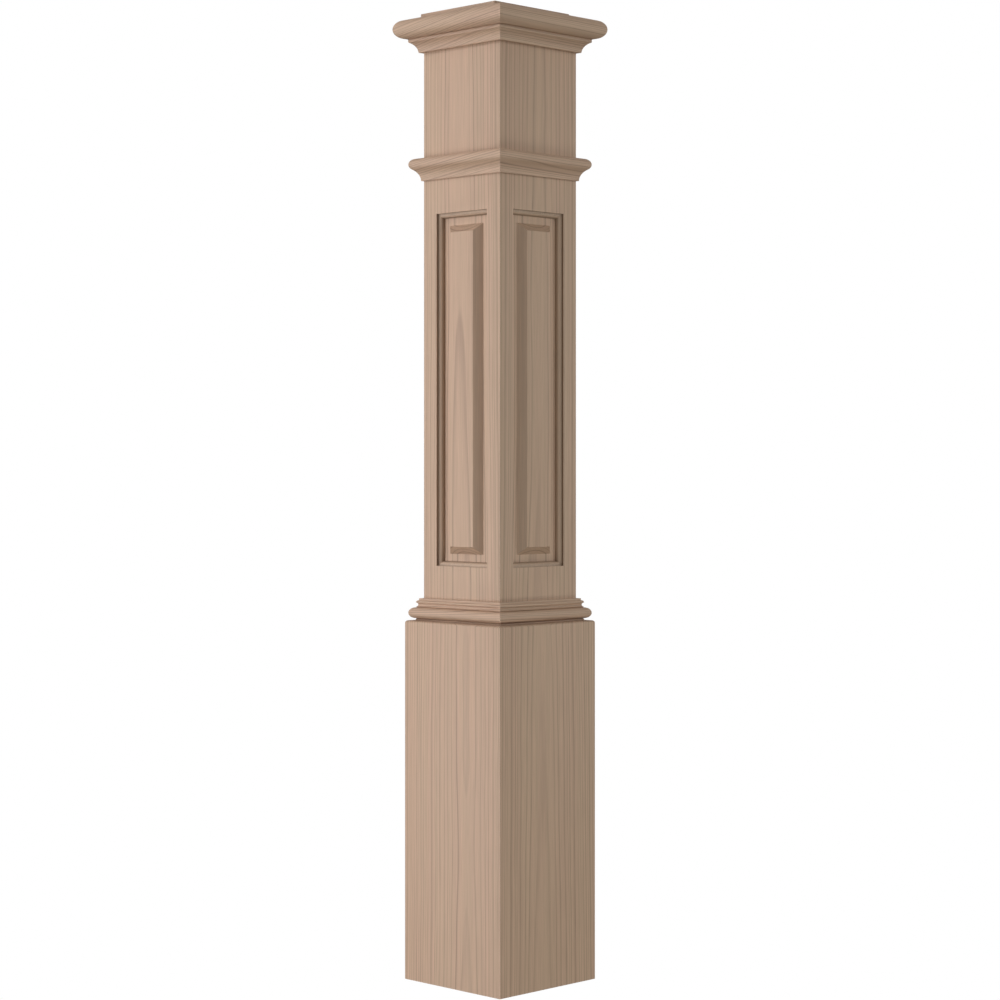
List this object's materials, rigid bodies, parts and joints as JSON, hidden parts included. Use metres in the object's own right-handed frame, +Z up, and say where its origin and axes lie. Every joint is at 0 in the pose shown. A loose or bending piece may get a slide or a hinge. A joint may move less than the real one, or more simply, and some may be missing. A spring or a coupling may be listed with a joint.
{
  "type": "newel post",
  "caption": "Square hollow box newel post in bare hardwood, with a raised panel in each face, a boxed base, a band below the neck and a moulded cap.",
  "frame": {"origin": "centre of the post's underside", "axes": "+Z up the post, the front face looks along -Y and the right face along +X"},
  "size_m": [0.2246, 0.2246, 1.424],
  "materials": {
    "shaft_wood": "bare, fine sanded, grain running up the post",
    "base_wood": "bare, fine sanded, grain running up the post",
    "moulding_wood": "bare, machine moulded, grain running along each length",
    "plate_wood": "bare, fine sanded"
  },
  "bodies": {
    "root": {"shaft_board_front": "shaft_wood", "shaft_board_right": "shaft_wood", "shaft_board_back": "shaft_wood", "shaft_board_left": "shaft_wood", "base_board_front": "base_wood", "base_board_right": "base_wood", "base_board_back": "base_wood", "base_board_left": "base_wood", "base_moulding_front": "moulding_wood", "base_moulding_right": "moulding_wood", "base_moulding_back": "moulding_wood", "base_moulding_left": "moulding_wood", "band_moulding_front": "moulding_wood", "band_moulding_right": "moulding_wood", "band_moulding_back": "moulding_wood", "band_moulding_left": "moulding_wood", "cap_moulding_front": "moulding_wood", "cap_moulding_right": "moulding_wood", "cap_moulding_back": "moulding_wood", "cap_moulding_left": "moulding_wood", "top_plate": "plate_wood"}
  },
  "joints": []
}
